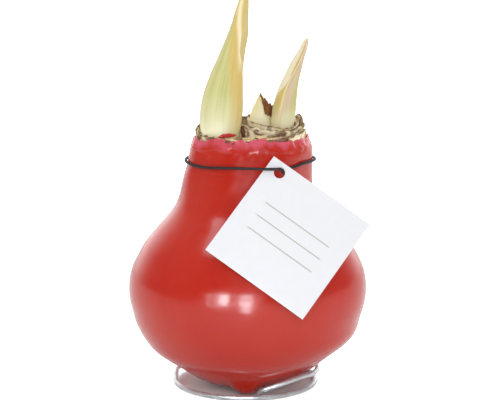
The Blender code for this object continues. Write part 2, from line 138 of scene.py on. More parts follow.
# Shoots: height, centre x, centre y, half width, half depth
TALL_SHOOT = [
    (98.0, -10.6, -9.0, 5.6, 4.6), (103.5, -10.9, -9.0, 7.1, 5.8), (107.5, -11.1, -9.0, 8.1, 6.3),
    (111.5, -11.0, -9.0, 8.6, 6.4), (116.0, -10.6, -8.9, 8.6, 6.2), (121.0, -10.1, -8.7, 8.1, 5.8),
    (126.0, -9.3, -8.4, 7.3, 5.3), (131.0, -8.3, -8.1, 6.3, 4.7), (135.5, -7.0, -7.8, 5.5, 4.2),
    (140.0, -5.7, -7.5, 4.9, 3.7), (145.0, -4.2, -7.2, 4.3, 3.2), (150.0, -3.2, -7.0, 3.4, 2.6),
    (155.0, -2.4, -6.8, 2.7, 2.1), (160.0, -1.5, -6.6, 1.85, 1.5), (164.5, -1.2, -6.5, 1.0, 0.9),
    (167.4, -1.1, -6.4, 0.05, 0.05)]
SHORT_SHOOT = [
    (102.0, 13.6, -0.6, 3.6, 3.2), (106.0, 14.0, -0.6, 4.3, 3.8), (109.0, 14.2, -0.6, 4.7, 4.1),
    (112.0, 14.5, -0.6, 4.9, 4.2), (115.0, 14.8, -0.6, 4.85, 4.2), (119.2, 15.5, -0.6, 4.45, 3.9),
    (121.7, 16.0, -0.6, 4.2, 3.6), (124.2, 16.6, -0.6, 3.85, 3.3), (126.7, 17.4, -0.6, 3.45, 3.0),
    (129.2, 18.3, -0.6, 3.15, 2.7), (131.7, 19.2, -0.6, 2.85, 2.5), (134.1, 20.1, -0.6, 2.5, 2.2),
    (136.6, 21.2, -0.6, 2.05, 1.8), (139.0, 22.3, -0.6, 1.7, 1.5), (141.8, 23.3, -0.6, 1.2, 1.1),
    (143.0, 23.8, -0.6, 0.75, 0.7), (143.5, 24.0, -0.6, 0.05, 0.05)]
LEAF_STUB = [
    (103.0, 5.0, 2.4, 3.2, 2.6), (107.0, 5.1, 2.4, 4.2, 3.2), (111.0, 5.1, 2.4, 4.4, 3.4),
    (114.5, 5.3, 2.4, 3.7, 2.9), (117.0, 5.5, 2.4, 2.6, 2.2), (119.3, 5.3, 2.4, 1.3, 1.2),
    (120.9, 5.2, 2.4, 0.1, 0.1)]
TORN_EDGE = [            # across the stub, foot and top of its brown torn skin
    (4.9, 119.9, 121.1), (5.4, 119.1, 120.9), (5.7, 117.6, 119.9), (6.2, 116.1, 119.0),
    (6.4, 114.6, 118.6), (6.75, 112.9, 118.8), (7.1, 112.5, 119.1), (7.6, 112.3, 118.0),
    (8.1, 112.1, 117.3), (8.6, 111.9, 116.7), (9.1, 111.6, 117.0), (9.7, 111.3, 116.3),
    (10.4, 111.2, 115.8), (11.0, 111.6, 115.0)]

# Wire stand: the ring on the floor, and the points by which its inner end rises into the bulb
RING_RADIUS = 29.5
RING_CENTRE_X = -1.1
RING_DEGREES = (100, -166, -5)
WIRE_HEIGHT = 1.0        # its middle line on the floor
WIRE_RISE = [
    (-29.9, 7.5, 3.3), (-22.5, 20.5, 5.0), (-9.0, 28.6, 6.0), (8.0, 28.6, 6.3), (22.0, 19.0, 6.5),
    (28.0, 6.5, 6.5), (28.9, -6.0, 7.0), (26.2, -16.5, 7.5), (21.3, -22.7, 7.8),
    (16.3, -25.8, 6.8), (10.9, -27.2, 5.3), (6.4, -27.0, 3.7), (4.7, -24.4, 2.2),
    (3.9, -21.4, 1.05), (3.2, -17.5, 1.0), (1.8, -10.0, 1.0), (0.6, -4.0, 1.1), (0.0, -0.9, 2.4),
    (0.0, 0.0, 5.5), (0.0, 0.0, 11.0), (0.0, 0.0, 18.0)]

# Card and cord
TAG_SIDE = 46.0
TAG_HOLE_RADIUS = 2.2
TAG_HOLE_INSET = (4.2, 5.6)
CARD_MIDDLE = [inset - TAG_SIDE / 2 for inset in TAG_HOLE_INSET]   # from the hole
TAG_HOLE_PLACE = (12.3, -31.3, 92.6)
TAG_TURN = (radians(90 - 21.0), 0.0, radians(4.7))
TAG_ROLL = radians(52.9)
RULES = (6.0, 0.0, -6.0)  # ruled lines, from the middle of the card
RULE_REACH = 15.5        # half their length
CORD_HEIGHT = 94.2
CORD_ROOM = 0.3          # gap between the cord and the wax
STRANDS = 3
CORD_LAY = 1.1           # length in which the grooves move on by one strand
CORD_AT_TAG = [          # right, up and out of the card, from the middle of its hole
    (-6.0, 1.3, 1.2), (-2.6, 1.25, 1.2), (-0.2, 1.2, 1.2), (1.0, 0.95, 0.85),
    (1.45, 0.6, -0.1), (1.9, 0.5, -1.2)]


def srgb(red, green, blue):
    """Turn a colour of 0 to 255 as seen on a screen into the linear values of a material."""
    linear = []
    for level in (red, green, blue):
        share = level / 255
        linear.append(share / 12.92 if share < 0.04 else ((share + 0.055) / 1.055) ** 2.4)
    return tuple(linear)


def colour_prop(name, description, colour):
    return FloatVectorProperty(name=name, description=description, default=srgb(*colour),
                               size=3, min=0.0, max=1.0, subtype="COLOR")


def length_prop(name, description, millimetres):
    return FloatProperty(name=name, description=description, default=millimetres * MM,
                         min=0.0, precision=5, subtype="DISTANCE", unit="LENGTH")


class WaxLook(bpy.types.PropertyGroup):
    colour: colour_prop("Wax", "Colour of the wax in full light", (187, 32, 13))
    bright: colour_prop("Bright wax", "Colour where the wax is thin", (190, 44, 26))
    bloom: colour_prop("Rim bloom", "Pale bloom on the worked rim", (214, 92, 112))
    lump: length_prop("Lumps", "Height of the soft lumps near the rim", 0.45)
    sides: IntProperty(name="Sides", description="Sides round the wax", default=256, min=24)
    rows: IntProperty(name="Rows", description="Rows from base to rim", default=150, min=20)


class ScaleLook(bpy.types.PropertyGroup):
    paper: colour_prop("Paper", "Dry outer scales", (250, 224, 178))
    flesh: colour_prop("Flesh", "Fresh inner scales", (255, 246, 212))
    edge: colour_prop("Edge", "Dried edges of the scales", (94, 60, 40))
    # The patch colour also paints shade: the dark gap between the scales beside the tall shoot
    patch_and_shade: colour_prop("Patch", "Brown patches", (106, 52, 26))


class ShootLook(bpy.types.PropertyGroup):
    green: colour_prop("Green", "Yellow-green leaf skin", (201, 197, 126))
    gold: colour_prop("Gold", "Golden side", (209, 178, 92))
    # The pale colour is a painted highlight on the tall shoot's rolled margin and the short shoot's
    # keel. It is also the pale tone of the stub and of the short rear leaf.
    pale_and_highlight: colour_prop("Pale", "Light fold", (252, 236, 198))
    foot: colour_prop("Foot", "Cream foot", (252, 247, 216))
    rose: colour_prop("Rose", "Pinkish edges", (214, 182, 168))
    torn: colour_prop("Torn skin", "Brown torn skin of the stub", (142, 76, 36))
    vein: length_prop("Veins", "Depth of the long veins", 0.06)


class WireLook(bpy.types.PropertyGroup):
    colour: colour_prop("Zinc", "Bright zinc coat", (236, 243, 246))
    dull: colour_prop("Dull zinc", "Dull marks in the zinc", (192, 196, 196))
    radius: length_prop("Radius", "Radius of the wire", 1.0)


class CardLook(bpy.types.PropertyGroup):
    colour: colour_prop("Card", "White coated card", (229, 230, 234))
    rule: colour_prop("Rules", "Grey ruled lines", (176, 177, 170))
    thickness: length_prop("Thickness", "Thickness of the card", 0.6)
    bow: length_prop("Bow", "How far the card's middle bows out", 0.2)


class CordLook(bpy.types.PropertyGroup):
    colour: colour_prop("Cord", "Black cord", (24, 20, 20))
    worn: colour_prop("Worn cord", "Lighter fibres", (64, 56, 54))
    radius: length_prop("Radius", "Radius of the cord", 0.6)
    ply: length_prop("Ply", "Depth of the grooves between the strands", 0.09)


class StageLook(bpy.types.PropertyGroup):
    floor: colour_prop("Floor", "Pale floor", (236, 236, 236))
    sky: FloatProperty(name="Surround", description="Light of the white surround", default=1.5)
    front: FloatProperty(name="Front", description="Light of the room in front", default=0.2)
    window: FloatProperty(name="Windows", description="Light of the two windows", default=18.0)
    fill: FloatProperty(name="Fill", description="Soft light from above the front", default=2.9)


class WaxedBulb(bpy.types.PropertyGroup):
    wax: PointerProperty(type=WaxLook)
    scales: PointerProperty(type=ScaleLook)
    shoots: PointerProperty(type=ShootLook)
    wire: PointerProperty(type=WireLook)
    card: PointerProperty(type=CardLook)
    cord: PointerProperty(type=CordLook)
    stage: PointerProperty(type=StageLook)


# Lines and surfaces

def smooth_line(points, steps=8):
    """A smooth line through the given points, as many coordinates as they have."""
    size = len(points[0])
    ends = [[2 * points[0][i] - points[1][i] for i in range(size)]]
    ends += [list(point) for point in points]
    ends.append([2 * points[-1][i] - points[-2][i] for i in range(size)])
    line = []
    for before, start, finish, after in zip(ends, ends[1:], ends[2:], ends[3:]):
        for step in range(steps):
            t = step / steps
            line.append(Vector([
                0.5 * (2 * b + (c - a) * t + (2 * a - 5 * b + 4 * c - d) * t ** 2
                       + (3 * b - 3 * c + d - a) * t ** 3)
                for a, b, c, d in zip(before, start, finish, after)]))
    line.append(Vector(points[-1]))
    return line


def even_points(line, count, crowd=0.0):
    """The line again, in count points an equal way apart, or crowded towards its ends."""
    lengths = [0.0]
    for start, finish in zip(line, line[1:]):
        lengths.append(lengths[-1] + (finish - start).length)
    spaced = []
    place = 0
    for step in range(count):
        share = step / (count - 1)
        goal = lengths[-1] * (share - crowd * sin(tau * share))
        while place < len(line) - 2 and lengths[place + 1] < goal:
            place += 1
        part = (goal - lengths[place]) / (lengths[place + 1] - lengths[place])
        spaced.append(line[place].lerp(line[place + 1], part))
    return spaced


def ease(value, start, finish):
    """0 below start, 1 above finish, smooth between."""
    share = min(max((value - start) / (finish - start), 0.0), 1.0)
    return share * share * (3 - 2 * share)


def bump(value, middle, width):
    """1 at the middle, falling smoothly to nothing this far to either side."""
    return ease(width - abs(value - middle), 0.0, width)


def bumps(value, table):
    return sum(size * bump(value, middle, width) for size, middle, width in table)


def table_value(table, key):
    """A row of numbers between the rows of a table, by its first column."""
    key = min(max(key, table[0][0]), table[-1][0])
    for low, high in zip(table, table[1:]):
        if key <= high[0]:
            share = (key - low[0]) / (high[0] - low[0])
            return [a + share * (b - a) for a, b in zip(low, high)]


def waves(angle, table):
    return sum(size * sin(count * angle + start) for size, count, start in table)


def rough(angle, height, fine, seed=0.0):
    """Even noise round a ring, -1 to 1, with about this many lumps to each radian."""
    return noise.noise(Vector((fine * cos(angle) + seed, fine * sin(angle), height)))


def uneven(angle, radius, height):
    """Where a point of the turned body lies on the real one, which is lumpy and leans a little."""
    belly = ease(height, 6, 30) * (1 - ease(height, 66, 84))
    neck = ease(height, 76, 90)
    radius += belly * waves(angle, BELLY_WAVES) + neck * waves(angle, NECK_WAVES)
    lean = BELLY_SHIFT + NECK_SHIFT * ease(height, 84, 96)
    lift = waves(angle, RIM_WAVES) * ease(height, 96, 103)
    return Vector((radius * cos(angle) + lean, radius * sin(angle), height + lift))


def sheet_mesh(columns, rows, place, span, marks, wrap=False):
    """A grid laid out point by point: place(across, along), both 0 to 1, gives each point.

    A wrapped grid meets itself in a tube. Span is its width and length in millimetres, which the
    "flow" attribute carries so that fibres run along it. Marks gives more masks by name, the same
    all over or by marks(across, along).
    """
    mesh = bmesh.new()
    flow = mesh.verts.layers.float_vector.new("flow")
    values = marks if isinstance(marks, dict) else marks(0.0, 0.0)
    masks = {name: mesh.verts.layers.float.new(name) for name in values}
    bmesh.ops.create_grid(mesh, x_segments=columns, y_segments=rows, size=0.5)
    for vert in mesh.verts:
        across, along = vert.co.x + 0.5, vert.co.y + 0.5
        turn = tau * across
        if wrap:
            radius = span[0] / tau
            vert[flow] = Vector((radius * cos(turn), radius * sin(turn), span[1] * along))
        else:
            vert[flow] = Vector((span[0] * across, 0, span[1] * along))
        if callable(marks):
            values = marks(across, along)
        for name, value in values.items():
            vert[masks[name]] = value
        vert.co = place(across, along)
    bmesh.ops.remove_doubles(mesh, verts=mesh.verts, dist=0.002)
    bmesh.ops.recalc_face_normals(mesh, faces=mesh.faces)
    return mesh


def face_away(mesh, centre):
    """Turn an open sheet's faces so that they look away from a point."""
    middle = Vector(centre)
    away = sum(face.normal.dot(face.calc_center_median() - middle) for face in mesh.faces)
    if away < 0:
        bmesh.ops.reverse_faces(mesh, faces=mesh.faces)


def new_object(name, mesh):
    """An object of the mesh that was being built."""
    data = bpy.data.meshes.new(name)
    mesh.to_mesh(data)
    mesh.free()
    made = bpy.data.objects.new(name, data)
    bpy.context.collection.objects.link(made)
    return made


def finish_piece(name, mesh, finish, look, node=None, thickness=0.0):
    """Turn a mesh in millimetres into a piece on the frame, in metres, with its finish.

    It takes the place of the CAD node, if one is given.
    """
    bmesh.ops.translate(mesh, vec=(0, AXIS_OFFSET_Y, 0), verts=mesh.verts)
    bmesh.ops.scale(mesh, vec=(MM, MM, MM), verts=mesh.verts)
    piece = new_object(name, mesh)
    piece.data.shade_smooth()
    piece.data.set_sharp_from_angle(angle=SHARP_EDGE)
    piece.data.materials.append(finish_of(finish, look))
    if thickness:
        solid = piece.modifiers.new("thickness", "SOLIDIFY")
        solid.thickness = thickness * MM
        solid.offset = -1.0
    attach(piece, "root")
    if node:
        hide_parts(node)


def tube_mesh(path, radius, sides, along, marks):
    """A closed tube along a path, radius(turn, share) wide, whose frame never twists."""
    path = even_points(path, along)
    frames = []
    side = Vector((0, 0, 1))
    for number, point in enumerate(path):
        ahead = (path[min(number + 1, along - 1)] - path[max(number - 1, 0)]).normalized()
        side = (side - ahead * side.dot(ahead)).normalized()
        frames.append((point, side, ahead.cross(side)))
    length = sum((b - a).length for a, b in zip(path, path[1:]))

    def place(across, share):
        row = round(share * (along + 1)) - 1
        closed = row < 0 or row >= along
        point, first, second = frames[min(max(row, 0), along - 1)]
        turn = tau * across
        reach = 0.0 if closed else radius(turn, min(max(row / (along - 1), 0), 1))
        return point + reach * (cos(turn) * first + sin(turn) * second)

    return sheet_mesh(sides, along + 1, place, (tau * radius(0.0, 0.5), length),
                      marks, wrap=True)


# Materials

class Wires:
    """A tree of nodes. Each method adds a node and gives what it puts out."""

    def __init__(self, tree):
        self.tree = tree

    def node(self, kind, values, **settings):
        made = self.tree.nodes.new("ShaderNode" + kind)
        for name, value in settings.items():
            setattr(made, name, value)
        for socket, value in values.items():
            if isinstance(value, bpy.types.NodeSocket):
                self.tree.links.new(value, made.inputs[socket])
            else:
                made.inputs[socket].default_value = value
        return made.outputs

    def place(self):
        return self.node("TexCoord", {})["Object"]

    def mask(self, name, kind="Fac"):
        return self.node("Attribute", {}, attribute_name=name)[kind]

    def ray(self, kind):
        return self.node("LightPath", {})[kind]

    def times(self, first, second):
        return self.node("Math", {0: first, 1: second}, operation="MULTIPLY", use_clamp=True)[0]

    def span(self, value, low, high, start=0.0, finish=1.0, **settings):
        """A value between low and high, turned into one between start and finish."""
        return self.node("MapRange", {"Value": value, "From Min": low, "From Max": high,
                                      "To Min": start, "To Max": finish}, **settings)[0]

    def blend(self, share, first, second):
        """Mix of two colours, each a colour or another node's output."""
        first, second = (value if isinstance(value, bpy.types.NodeSocket) else (*value, 1.0)
                         for value in (first, second))
        return self.node("Mix", {0: share, 6: first, 7: second}, data_type="RGBA")[2]

    def fibres(self, across, along, low=0.35, high=0.65):
        return self.node("Group", {"Vector": self.mask("flow", "Vector"), "Across": across,
                                   "Along": along, "Low": low, "High": high},
                         node_tree=shared_group("fibre_streaks", fibre_streaks, (
                             "Across", "Along", "Low", "High"), ("Mask", "Height")))

    def grain(self, place, scale, detail, **sockets):
        return self.node("TexNoise", {"Vector": place, "Scale": scale, "Detail": detail,
                                      **sockets})["Fac"]

    def mottle(self, scale, fineness):
        return self.node("Group", {"Vector": self.place(), "Scale": scale, "Fineness": fineness},
                         node_tree=shared_group("soft_mottle", soft_mottle, (
                             "Scale", "Fineness"), ("Mask", "Grain")))


class Finish(Wires):
    """A material that is being made, with the values that are the same all over."""

    def __init__(self, name, **sockets):
        self.material = bpy.data.materials.new(name)
        self.material.use_nodes = True
        super().__init__(self.material.node_tree)
        self.inputs = self.tree.nodes["Principled BSDF"].inputs
        for socket, value in sockets.items():
            self.inputs[socket.replace("_", " ")].default_value = value

    def done(self, colour, grain, rough, height, depth, strength):
        """Join the colour, a roughness that follows a grain, and relief this deep in metres."""
        relief = self.node("Bump", {"Height": height, "Distance": depth, "Strength": strength})
        for socket, value in (("Base Color", colour), ("Normal", relief[0]),
                              ("Roughness", self.span(grain, 0.3, 0.7, *rough))):
            self.tree.links.new(value, self.inputs[socket])
        return self.material


def shared_group(name, build, numbers, results):
    """A shader node group with named inputs and outputs, built once."""
    if name in bpy.data.node_groups:
        return bpy.data.node_groups[name]
    group = bpy.data.node_groups.new(name, "ShaderNodeTree")
    group.interface.new_socket("Vector", in_out="INPUT", socket_type="NodeSocketVector")
    for label in numbers:
        group.interface.new_socket(label, in_out="INPUT", socket_type="NodeSocketFloat")
    for label in results:
        group.interface.new_socket(label, in_out="OUTPUT", socket_type="NodeSocketFloat")
    given = group.nodes.new("NodeGroupInput").outputs
    result = group.nodes.new("NodeGroupOutput").inputs
    for label, socket in zip(results, build(Wires(group), given)):
        group.links.new(socket, result[label])
    return group


def fibre_streaks(wires, given):
    """Fibres that run along a piece: noise pulled out along the third coordinate."""
    scale = wires.node("CombineXYZ", {"X": given["Across"], "Y": given["Across"],
                                      "Z": given["Along"]})[0]
    place = wires.node("VectorMath", {0: given["Vector"], 1: scale}, operation="MULTIPLY")[0]
    grain = wires.grain(place, 1.0, 4.0, Roughness=0.6)
    return wires.span(grain, given["Low"], given["High"]), grain


def soft_mottle(wires, given):
    """Soft blotches and a fine grain on the object's own coordinates."""
    broad = wires.grain(given["Vector"], given["Scale"], 3.0)
    finer = wires.node("Math", {0: given["Scale"], 1: given["Fineness"]},
                       operation="MULTIPLY")[0]
    return wires.span(broad, 0.38, 0.64), wires.grain(given["Vector"], finer, 4.0)


def shaded(colour, red_green, blue=None):
    """A colour made darker, its blue part by a number of its own where one is given."""
    blue = red_green if blue is None else blue
    return red_green * colour[0], red_green * colour[1], blue * colour[2]


def red_wax(look):
    """Candle wax: soft blotches, a pale worked rim, dull and glossy areas, low ripples."""
    made = Finish("red_wax", IOR=1.44, Coat_Weight=0.3, Coat_Roughness=0.1, Coat_IOR=1.4,
                  Subsurface_Weight=0.12, Subsurface_Scale=0.0025,
                  Subsurface_Radius=(1.0, 0.25, 0.12))
    soft, worked, rim = made.mottle(26.0, 9.0), made.mottle(110.0, 5.0), made.mask("rim")
    bloom = made.times(rim, made.span(worked["Mask"], 0.0, 1.0, 0.35, 0.95))
    colour = made.blend(soft["Mask"], look.colour, look.bright)
    colour = made.blend(bloom, colour, look.bloom)
    ripple = made.times(made.times(worked["Mask"], rim), 0.25)
    relief = made.node("Math", {0: made.times(soft["Grain"], 0.25), 1: ripple},
                       operation="ADD")[0]
    return made.done(colour, soft["Grain"], (0.16, 0.27), relief, 0.0005, 0.4)


def dry_scale(look):
    """Papery scale: fleshy low down, dry and veined above, with a dark ragged edge."""
    made = Finish("bulb_scale", Subsurface_Weight=0.05, Subsurface_Scale=0.001)
    fibre, spots = made.fibres(1.9, 0.12, 0.36, 0.66), made.mottle(210.0, 6.0)
    paper = made.blend(fibre["Mask"], look.paper, shaded(look.paper, 0.62, 0.48))
    flesh = made.blend(made.times(fibre["Mask"], 0.25), look.flesh, look.paper)
    # brown patches, and painted shade in the gap beside the tall shoot
    brown = made.times(made.mask("patch_and_shade"), made.span(spots["Mask"], 0.0, 0.8, 0.75, 1.0))
    worn = made.times(made.mask("edge"), made.span(spots["Grain"], 0.25, 0.6, 0.45, 1.0))
    colour = made.blend(made.mask("dry"), flesh, paper)
    colour = made.blend(brown, colour, look.patch_and_shade)
    colour = made.blend(worn, colour, look.edge)
    return made.done(colour, spots["Grain"], (0.45, 0.75), fibre["Height"], 0.0005, 0.6)


def leaf_skin(look):
    """Shoot skin: green, gold and cream zones that follow the leaf, long veins, and painted
    highlights.
    """
    made = Finish("green_shoot", Subsurface_Weight=0.12, Subsurface_Scale=0.002,
                  Subsurface_Radius=(1.0, 0.9, 0.35))
    broad, fine = made.fibres(0.55, 0.018, 0.36, 0.66), made.fibres(2.6, 0.04)
    gold = made.times(made.mask("gold"), made.span(broad["Height"], 0.3, 0.6, 0.7, 1.0))
    colour = made.blend(broad["Mask"], look.green, shaded(look.green, 0.86, 0.7))
    for mask, tint in ((gold, look.gold), (made.mask("rose"), look.rose),
                       (made.mask("pale_and_highlight"), look.pale_and_highlight), (made.mask("foot"), look.foot),
                       (made.times(fine["Mask"], 0.15), look.foot)):
        colour = made.blend(mask, colour, tint)
    return made.done(colour, fine["Height"], (0.34, 0.5), fine["Height"], look.vein * 4, 0.4)


def torn_skin(look):
    """The brown torn skin of the stub: dry, fibrous and uneven."""
    made = Finish("torn_skin")
    fibre, spots = made.fibres(2.2, 0.3), made.mottle(420.0, 4.0)
    colour = made.blend(fibre["Mask"], look.torn, shaded(look.torn, 0.45))
    colour = made.blend(made.times(spots["Mask"], 0.15), colour, look.gold)
    return made.done(colour, spots["Grain"], (0.6, 0.9), fibre["Height"], 0.0006, 0.8)


def zinc_wire(look):
    """Bright galvanised wire: drawing lines along it and dull patches."""
    made = Finish("zinc_wire", Metallic=0.75)
    drawn, spots = made.fibres(3.0, 0.05)["Height"], made.mottle(260.0, 5.0)
    colour = made.blend(made.times(spots["Mask"], 0.6), look.colour, look.dull)
    return made.done(colour, drawn, (0.22, 0.44), drawn, 0.0001, 0.5)


def white_card(look):
    """Smooth coated card with a faint fibre grain, raw edges and three ruled lines."""
    made = Finish("white_card")
    spots = made.mottle(300.0, 8.0)
    colour = made.blend(made.times(spots["Mask"], 0.25), look.colour, shaded(look.colour, 0.95))
    colour = made.blend(made.mask("rule"), colour, look.rule)
    return made.done(colour, spots["Grain"], (0.3, 0.42), spots["Grain"], 0.00004, 0.3)


def black_cord(look):
    """Waxed black cord: fibres along each strand, some of them lighter."""
    made = Finish("black_cord")
    fibre = made.fibres(9.0, 1.4, 0.4, 0.7)
    proud = made.times(made.mask("strand"), 0.5)
    colour = made.blend(made.times(proud, fibre["Mask"]), look.colour, look.worn)
    return made.done(colour, fibre["Height"], (0.4, 0.65), fibre["Height"], 0.0001, 0.6)


def pale_floor(look):
    """The floor, which shines white to the camera outside the ring that the wire stands in."""
    made = Finish("pale_floor", Roughness=0.6, Emission_Color=(1.0, 1.0, 1.0, 1.0))
    spots = made.times(made.mottle(3.0, 40.0)["Mask"], 0.1)
    ring = (RING_CENTRE_X * MM, AXIS_OFFSET_Y * MM, 0.0)
    reach = made.node("VectorMath", {0: made.place(), 1: ring}, operation="DISTANCE")["Value"]
    clear = made.span(reach, 0.0285, 0.031, 0.03, 0.9)
    made.tree.links.new(made.blend(spots, look.floor, shaded(look.floor, 0.97)),
                        made.inputs["Base Color"])
    made.tree.links.new(made.times(made.ray("Is Camera Ray"), clear),
                        made.inputs["Emission Strength"])
    return made.material


FINISHES = {
    "red_wax": red_wax, "bulb_scale": dry_scale, "green_shoot": leaf_skin,
    "torn_skin": torn_skin, "zinc_wire": zinc_wire, "white_card": white_card,
    "black_cord": black_cord, "pale_floor": pale_floor}
MADE = {}


def finish_of(name, look):
    """A material that is made once, and shared by the pieces that have it."""
    if name not in MADE:
        MADE[name] = FINISHES[name](look)
    return MADE[name]


# Wax

def wax_thickness(height):
    return 1.7 - 0.7 * ease(height, 60, 96)


def wax_profile(rows):
    """Outer line of the wax from base to rim, then back down inside it."""
    line = smooth_line(BODY_OUTLINE)
    outer = even_points(line, rows, crowd=0.09)
    inner = []
    coarse = even_points(line, rows // 4, crowd=0.05)
    for number, row in enumerate(coarse):
        along = coarse[min(number + 1, len(coarse) - 1)] - coarse[max(number - 1, 0)]
        inward = Vector((-along.y, along.x)).normalized()
        inner.append(row + inward * wax_thickness(row.y))
    outer[0].x = inner[0].x = SPIKE_HOLE
    lip = [outer[-1].lerp(inner[-1], share) + Vector((0, 0.5 * sin(pi * share)))
           for share in (0.17, 0.33, 0.5, 0.67, 0.83)]
    return outer, lip + inner[::-1]


def wax_swell(angle, radius, height, look):
    """How far the wax's outside stands off the turned shape: out, and up."""
    lump = look.lump / MM
    dent = -0.16 * (0.5 + 0.5 * rough(angle, height / 26, 1.6)) * ease(height, 12, 34)
    crinkle = ease(height, 93, 101)
    fold = crinkle * lump * (1.1 * rough(angle, height / 5.5, 4.5, 3.0)
                             + 0.5 * rough(angle, height / 1.6, 11.0, 7.0))
    crest = 1 - min(abs(rough(angle, height / 2.4, 7.0, 12.0)) * 5, 1.0)
    fold += ease(height, 97.5, 100.5) * lump * 0.5 * crest ** 2
    ring = 0.22 * bump(height, 100.2, 1.6) * (1 + rough(angle, 0.0, 3.0, 11.0))
    front = bump(angle, FRONT, 1.5)
    lift = ease(height, 98, 103) * (0.8 * front + 0.35 * rough(angle, 0.0, 9.0, 5.0)
                                    + 0.2 * rough(angle, 0.0, 22.0, 8.0)
                                    - max(deep * bump(math.degrees(angle), spot, wide)
                                          for spot, wide, deep in NICKS))
    side = "left" if cos(angle) < 0 else "right"
    full = (ease(abs(cos(angle)), 0.3, 0.85) * bumps(height, SWELLS[side])
            + bumps(height, SWELLS["round"]))
    crease = (bumps(height + 0.9 * rough(angle, 0.0, 2.0, 9.0), [CREASE])
              * bump(angle, *CREASE_SPAN))
    under = bump(radius, 22.5, 7.5) * (1 - ease(height, 9, 12))
    scallop = under * (0.45 * rough(angle, 0.0, 3.2, 2.0) + 0.25 * rough(angle, 0.0, 7.0, 4.0))
    return dent + full + fold + ring - crease, lift + scallop


def drip_drop(place):
    """How far the drip under the front pulls the wax down, at a point of its underside."""
    across = min(bump(place.x, *DRIP[:2]) * 1.25, 1.0)
    deep = min(bump(place.y, *DRIP[2:]) * 1.15, 1.0)
    return DRIP_DEPTH * across * deep * (1 - ease(place.z, 6.0, 11.0))


def make_wax(look):
    """The wax shell, spun from its profile and then lumped, nicked and drawn into a drip."""
    outer, inside = wax_profile(look.rows)
    mesh = bmesh.new()
    shell = mesh.verts.layers.float.new("shell")
    rim = mesh.verts.layers.float.new("rim")
    chain = []
    for number, row in enumerate(outer + inside):
        vert = mesh.verts.new((row.x, 0, row.y))
        vert[shell] = 1.0 if number < len(outer) else 0.0
        chain.append(vert)
    edges = [mesh.edges.new(pair) for pair in zip(chain, chain[1:] + chain[:1])]
    bmesh.ops.spin(mesh, geom=chain + edges, axis=(0, 0, 1), cent=(0, 0, 0),
                   angle=tau, steps=look.sides, use_merge=True)
    for vert in mesh.verts:
        angle = math.atan2(vert.co.y, vert.co.x)
        radius = math.hypot(vert.co.x, vert.co.y)
        height = vert.co.z
        out, lift = wax_swell(angle, radius, height, look)
        vert[rim] = ease(height + 3.4 * rough(angle, 0.0, 5.0, 1.0), 99.6, 103.0)
        if not vert[shell]:
            out = 0.0
            lift *= ease(height, 98, 103)
        place = uneven(angle, radius + out, height)
        place.z += lift
        if vert[shell]:
            place.z -= drip_drop(place)
        vert.co = place
    bmesh.ops.recalc_face_normals(mesh, faces=mesh.faces)
    finish_piece("wax_shell", mesh, "red_wax", look, "wax_coat")


def shoot_front(sections, across, height):
    """The place on a shoot's front at this width and height, and the way out of it."""
    _, centre_x, centre_y, half_width, half_depth = table_value(sections, height)
    turn = math.asin((across - centre_x) / half_width)
    place = Vector((across, centre_y - half_depth * cos(turn), height))
    out = Vector((half_depth * sin(turn), -half_width * cos(turn), 0)).normalized()
    return place, out


def make_smear(look):
    """A short run of wax on the foot of the tall shoot, flattened and uneven."""
    left, length, foot, rise = RUN
    path = []
    for share in (step / 12 for step in range(13)):
        place, out = shoot_front(TALL_SHOOT, left + length * share,
                                 foot + rise * ease(share, 0.0, 0.55))
        path.append(place + out * 0.45)

    def radius(turn, share):
        full = 0.85 * sin(pi * min(max(share, 0.03), 0.97)) ** 0.45
        return full * (1 + 0.22 * rough(turn, share * 7, 1.3, 2.0))

    mesh = tube_mesh(smooth_line(path), radius, sides=20, along=44, marks={"rim": 0.25})
    finish_piece("wax_run", mesh, "red_wax", look, "wax_smear")


# Bulb neck

def scale_marks(dry, start=0.0, finish=360.0, patches=()):
    """Masks of a scale: how dry it is, its brown edge, and its brown patches and painted shade."""
    def marks(across, along):
        degrees = start + (finish - start) * across
        angle = radians(degrees)
        high = along + 0.12 * rough(angle, 0.0, 6.0, dry * 9)
        blotch = 0.7 * ease(rough(angle, along * 1.5, 3.4, dry * 20), 0.24, 0.4)
        for spot, height, width, tall in patches:
            ragged = 1 + 0.8 * rough(angle, along * 3, 9.0, spot)
            blotch = max(blotch, bump(degrees, spot, width * ragged)
                         * bump(along, height, tall * ragged) * 3.0)
        return {"dry": ease(high, 1.1 - dry, 1.35 - dry), "edge": ease(high, 0.91, 0.985),
                "patch_and_shade": min(blotch, 1.0)}
    return marks


def make_core(look):
    """The bulb inside the wax, and the cut flesh that its scales stand in."""
    line = even_points(smooth_line(BODY_OUTLINE), 44)
    rings = [(SPIKE_HOLE, SPIKE_HOLE_TOP, None), (SPIKE_HOLE, 6.6, None)]
    for number, row in enumerate(line[2:], start=2):
        along = line[min(number + 1, 43)] - line[number - 1]
        inward = Vector((-along.y, along.x)).normalized()
        inside = row + inward * (wax_thickness(row.y) + 0.3)
        rings.append((inside.x, inside.y, None))
    rings += [(0.0, 0.0, ring) for ring in NECK_RINGS]

    def place(across, along):
        row = round(along * (len(rings) + 1)) - 1
        if row < 0:
            return Vector((0, 0, SPIKE_HOLE_TOP))
        radius, height, ring = rings[min(row, len(rings) - 1)]
        angle = tau * across
        if ring is None:
            return uneven(angle, radius, height)
        left, right, height, tilt = ring
        reach = (right - left) / 2
        return Vector(((left + right) / 2 + reach * cos(angle),
                       1.6 * max(1 - reach / 22.0, 0.0) + reach * sin(angle),
                       height + tilt * sin(angle) + 0.3 * rough(angle, reach, 3.0)))

    mesh = sheet_mesh(128, len(rings) + 1, place, span=(140.0, 150.0),
                      marks=scale_marks(0.5), wrap=True)
    finish_piece("bulb_body", mesh, "bulb_scale", look, "bulb")


